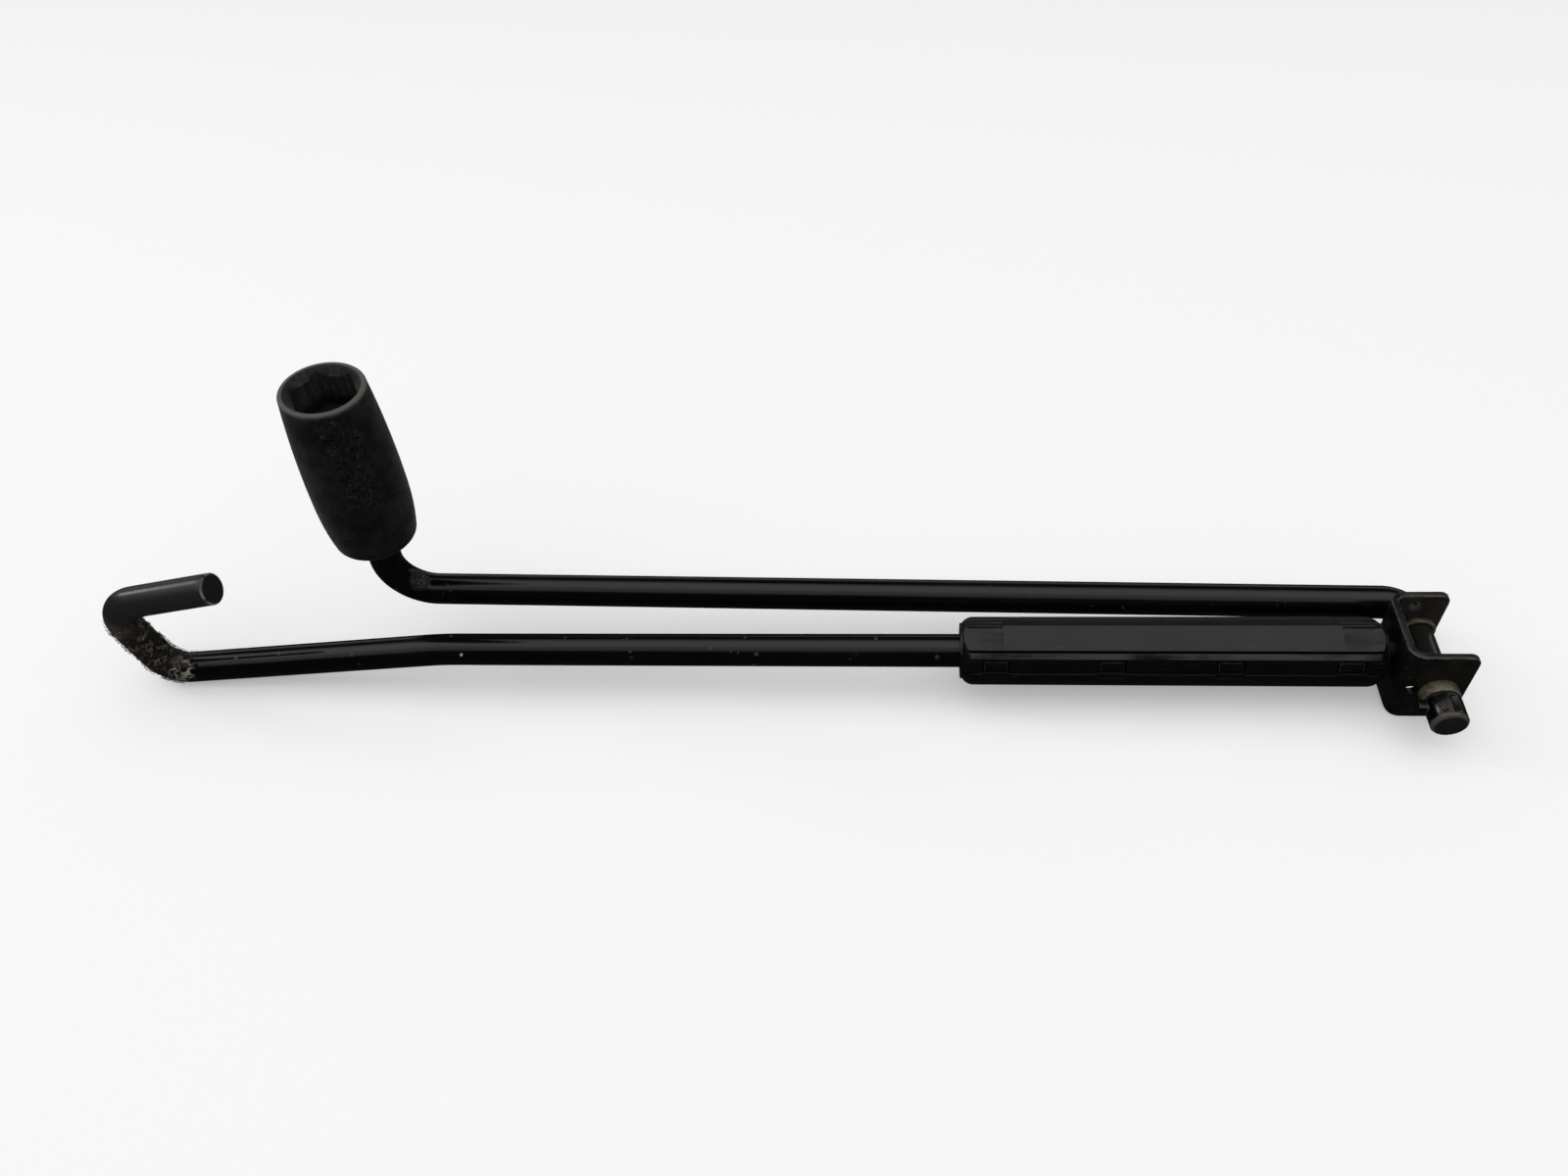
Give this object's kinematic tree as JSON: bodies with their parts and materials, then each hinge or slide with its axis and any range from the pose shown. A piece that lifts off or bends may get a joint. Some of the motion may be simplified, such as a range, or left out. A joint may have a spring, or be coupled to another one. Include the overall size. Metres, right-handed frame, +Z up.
{
  "type": "folding jack crank and wheel wrench",
  "caption": "Folding car-jack crank: a hooked steel rod with a free-turning ribbed sleeve, hinged by a stamped bracket to a second rod with a wheel-bolt socket.",
  "frame": {"origin": "middle of the footprint of the folded crank, on the flat surface that it lies on", "axes": "+X along the rods from the hook to the hinge bracket, +Y from the hook rod to the socket rod, +Z up, the way the folded socket opens"},
  "size_m": [0.4088, 0.0588, 0.1041],
  "materials": {
    "rod_paint": "gloss black paint on drawn steel rod, worn at the bends and the pin's head",
    "bracket_paint": "semi-gloss black paint on stamped plate, rubbed on the edges",
    "weld_paint": "black paint over a rippled weld",
    "bush_steel": "turned steel bush, passivated, olive, dull",
    "socket_paint": "matte black, dusty, scuffed, with a rubbed rim",
    "grip_plastic": "satin black moulded plastic"
  },
  "bodies": {
    "handle": {"hook_rod": "rod_paint", "hinge_bracket": "bracket_paint", "bracket_weld": "weld_paint", "far_bush": "bush_steel", "near_bush": "bush_steel"},
    "socket_arm": {"socket_rod": "rod_paint", "socket_head": "socket_paint"},
    "sleeve": {"grip_shell_upper": "grip_plastic", "grip_shell_lower": "grip_plastic"}
  },
  "joints": [
    {"name": "arm_fold", "type": "hinge", "parent": "handle", "child": "socket_arm", "pos_m": [0.19683, -0.00505, 0.01256], "axis": [0, 1, 0], "continuous": true},
    {"name": "sleeve_turn", "type": "hinge", "parent": "handle", "child": "sleeve", "pos_m": [0.12343, -0.00505, 0.01476], "axis": [1, 0, 0], "continuous": true}
  ]
}
